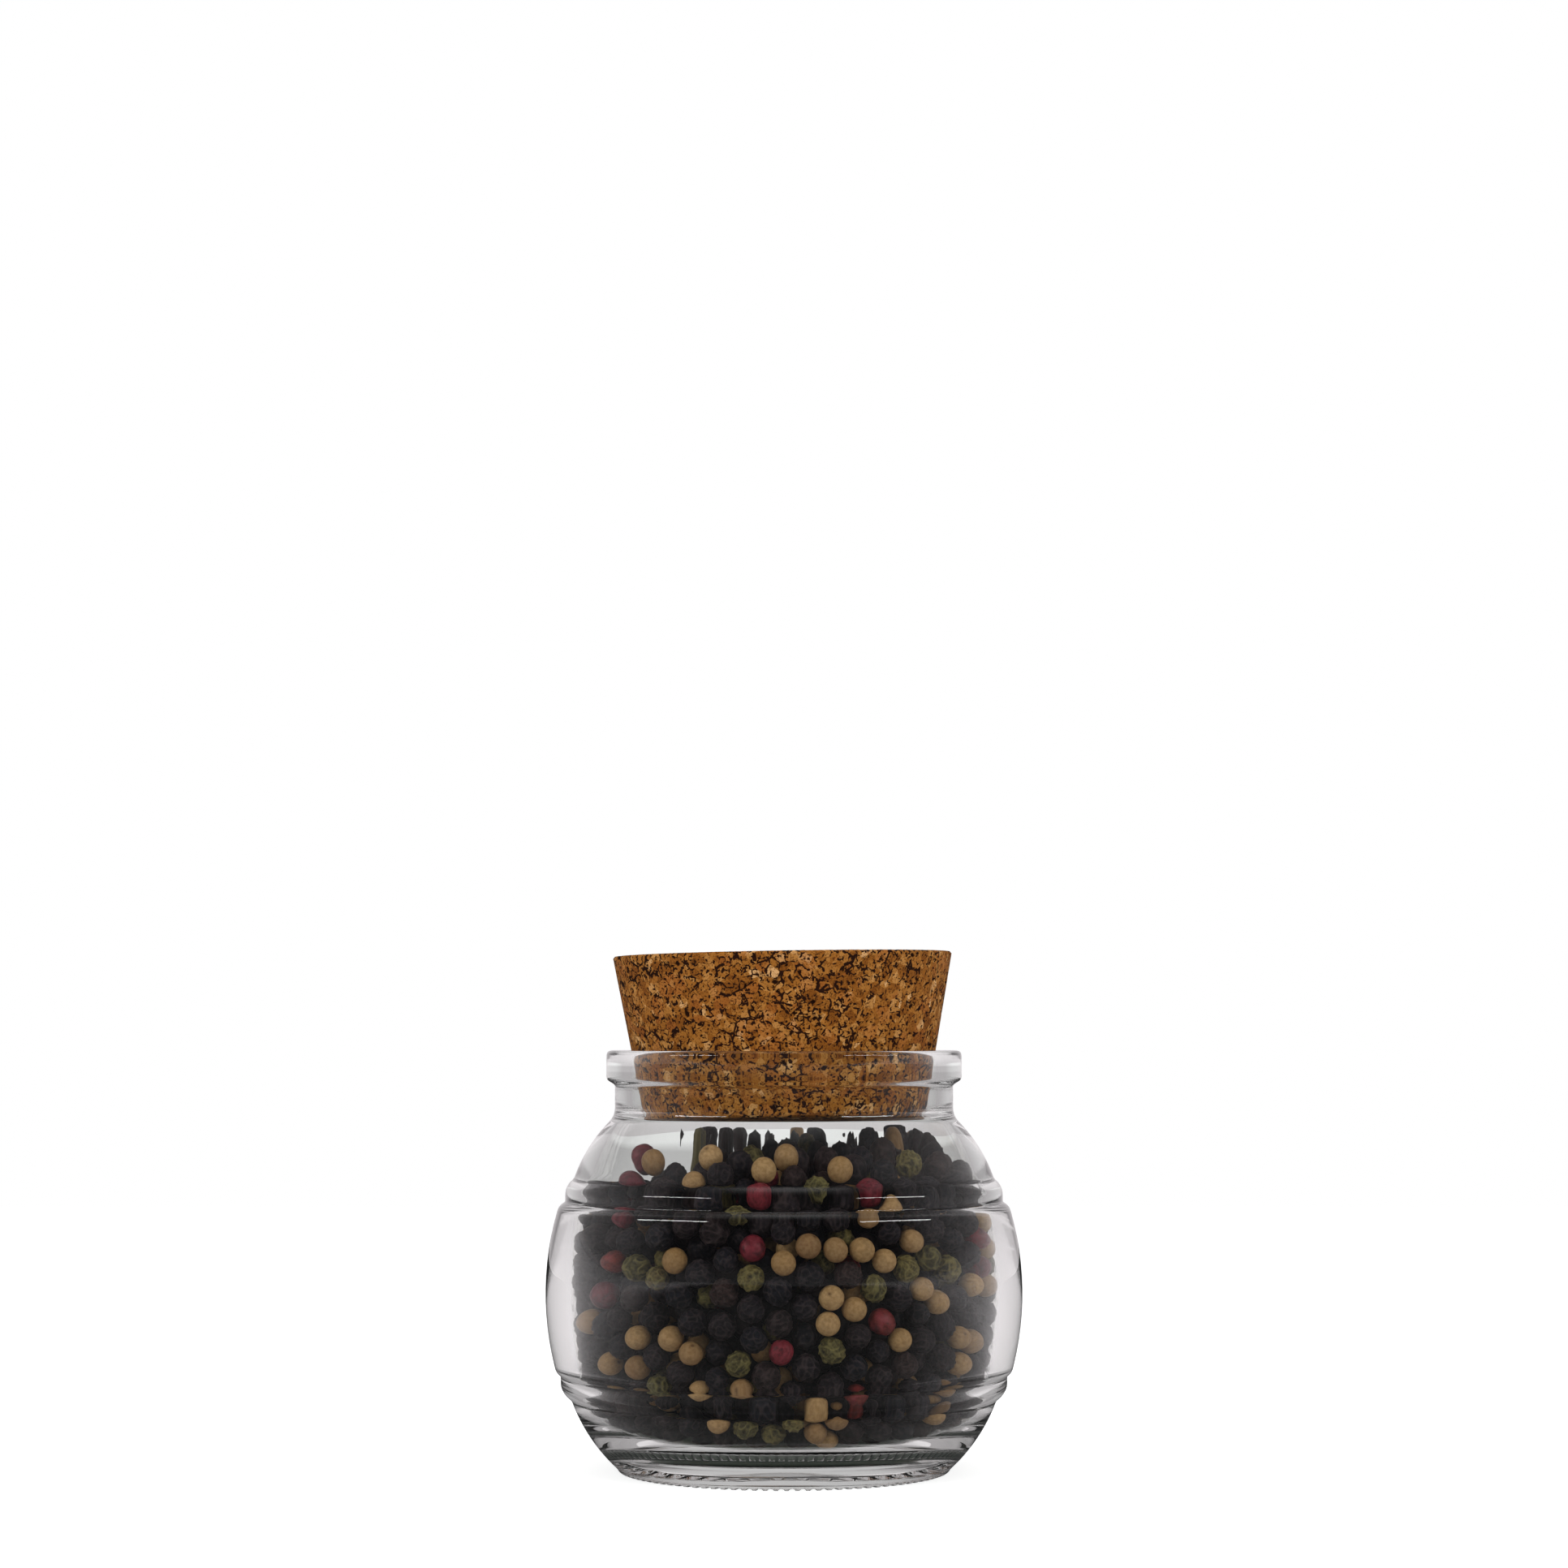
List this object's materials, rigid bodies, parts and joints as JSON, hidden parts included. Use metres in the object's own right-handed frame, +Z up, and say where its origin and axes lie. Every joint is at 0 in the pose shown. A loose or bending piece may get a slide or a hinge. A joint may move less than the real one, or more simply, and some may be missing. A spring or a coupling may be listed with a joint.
{
  "type": "glass jar with cork stopper",
  "caption": "Pot-bellied glass storage jar with two hoops, a beaded rim and a tapered cork stopper that lifts out, filled with mixed peppercorns.",
  "frame": {"origin": "centre of the bearing ring at the foot of the jar, on the table", "axes": "+Z up along the jar's axis and out of its mouth, -Y towards the side that the picture shows"},
  "size_m": [0.08, 0.08, 0.0868],
  "materials": {
    "clear_glass": "clear pressed soda-lime glass, fire-polished",
    "cork": "agglomerated cork, sanded",
    "black_pepper": "dried and wrinkled, matt",
    "white_pepper": "hulled, smooth and matt",
    "green_pepper": "dried and wrinkled, matt",
    "pink_pepper": "papery skin, half gloss"
  },
  "bodies": {
    "jar": {"glass_jar": "clear_glass", "black_peppercorns": "black_pepper", "white_peppercorns": "white_pepper", "green_peppercorns": "green_pepper", "pink_peppercorns": "pink_pepper"},
    "stopper": {"cork_stopper": "cork"}
  },
  "joints": [
    {"name": "stopper_lift", "type": "slide", "parent": "jar", "child": "stopper", "axis": [0, 0, 1], "range_m": [0, 0.035]}
  ]
}
